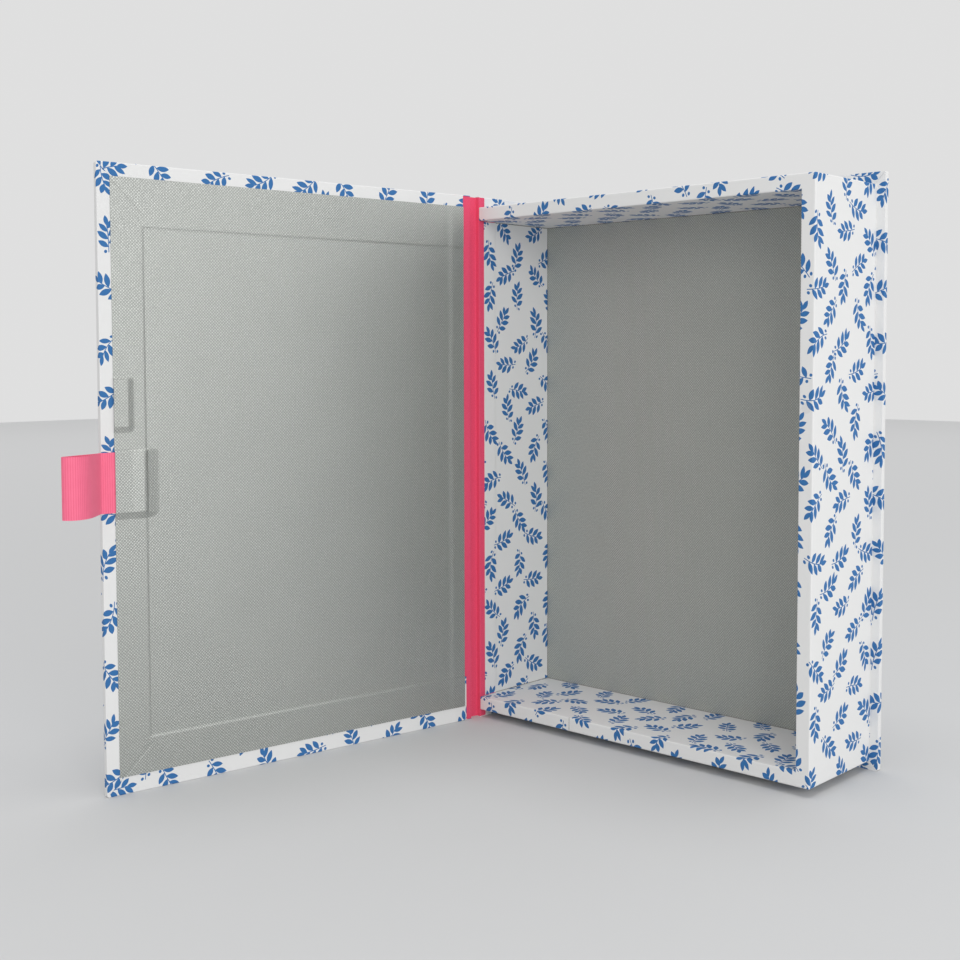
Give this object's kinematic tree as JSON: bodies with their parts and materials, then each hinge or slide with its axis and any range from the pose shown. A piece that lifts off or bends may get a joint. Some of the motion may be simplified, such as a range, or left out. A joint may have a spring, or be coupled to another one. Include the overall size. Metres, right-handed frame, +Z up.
{
  "type": "box file",
  "caption": "A4 box file like a hollow book: paper-covered board tray and hinged lid on a pink cloth joint, grey cloth linings, hidden magnetic catch, ribbon pull tab.",
  "frame": {"origin": "bottom centre of the bounding box of the part in its rest pose, standing open on its tail edges", "axes": "+Z up from the tail edge to the head edge; +Y from the tray's open side to its back face; +X from the spine across the tray to the fore-edge"},
  "size_m": [0.281, 0.3414, 0.3299],
  "materials": {
    "printed_paper": "matt white paper with a small blue print",
    "greyboard": "raw grey board",
    "grey_cloth": "silver-grey woven book cloth",
    "pink_cloth": "pink woven hinge cloth",
    "pink_ribbon": "ribbed pink ribbon",
    "steel": "plain sheet steel",
    "magnet": "nickel-plated"
  },
  "bodies": {
    "tray": {"spine_board": "greyboard", "base_board": "greyboard", "head_wall": "greyboard", "tail_wall": "greyboard", "fore_edge_wall": "greyboard", "spine_cover_paper": "printed_paper", "base_cover_paper": "printed_paper", "tray_wall_paper": "printed_paper", "spine_inner_paper": "printed_paper", "base_lining": "grey_cloth", "rim_magnet": "magnet", "hinge_cloth_spine_leaf": "pink_cloth"},
    "joint_strip": {"joint_cover_paper": "printed_paper", "hinge_cloth_joint": "pink_cloth"},
    "lid": {"lid_board": "greyboard", "lid_cover_paper": "printed_paper", "lid_lining": "grey_cloth", "lid_steel_plate": "steel", "hinge_cloth_lid_leaf": "pink_cloth", "pull_tab_tails": "pink_ribbon"},
    "tab": {"pull_tab_loop": "pink_ribbon"}
  },
  "joints": [
    {"name": "strip_fold", "type": "hinge", "parent": "tray", "child": "joint_strip", "pos_m": [-0.1034, 0.10095, 0.16495], "axis": [0, 0, -1], "range_deg": [-49.4, 48.1]},
    {"name": "lid_fold", "type": "hinge", "parent": "joint_strip", "child": "lid", "pos_m": [-0.10398, 0.09418, 0.16495], "axis": [0, 0, -1], "range_deg": [-49.4, 48.1]},
    {"name": "tab_flex", "type": "hinge", "parent": "lid", "child": "tab", "pos_m": [-0.13676, -0.14273, 0.1649], "axis": [0, 0, 1], "range_deg": [-60, 45], "stiffness_Nm_per_rad": 0.0004}
  ]
}
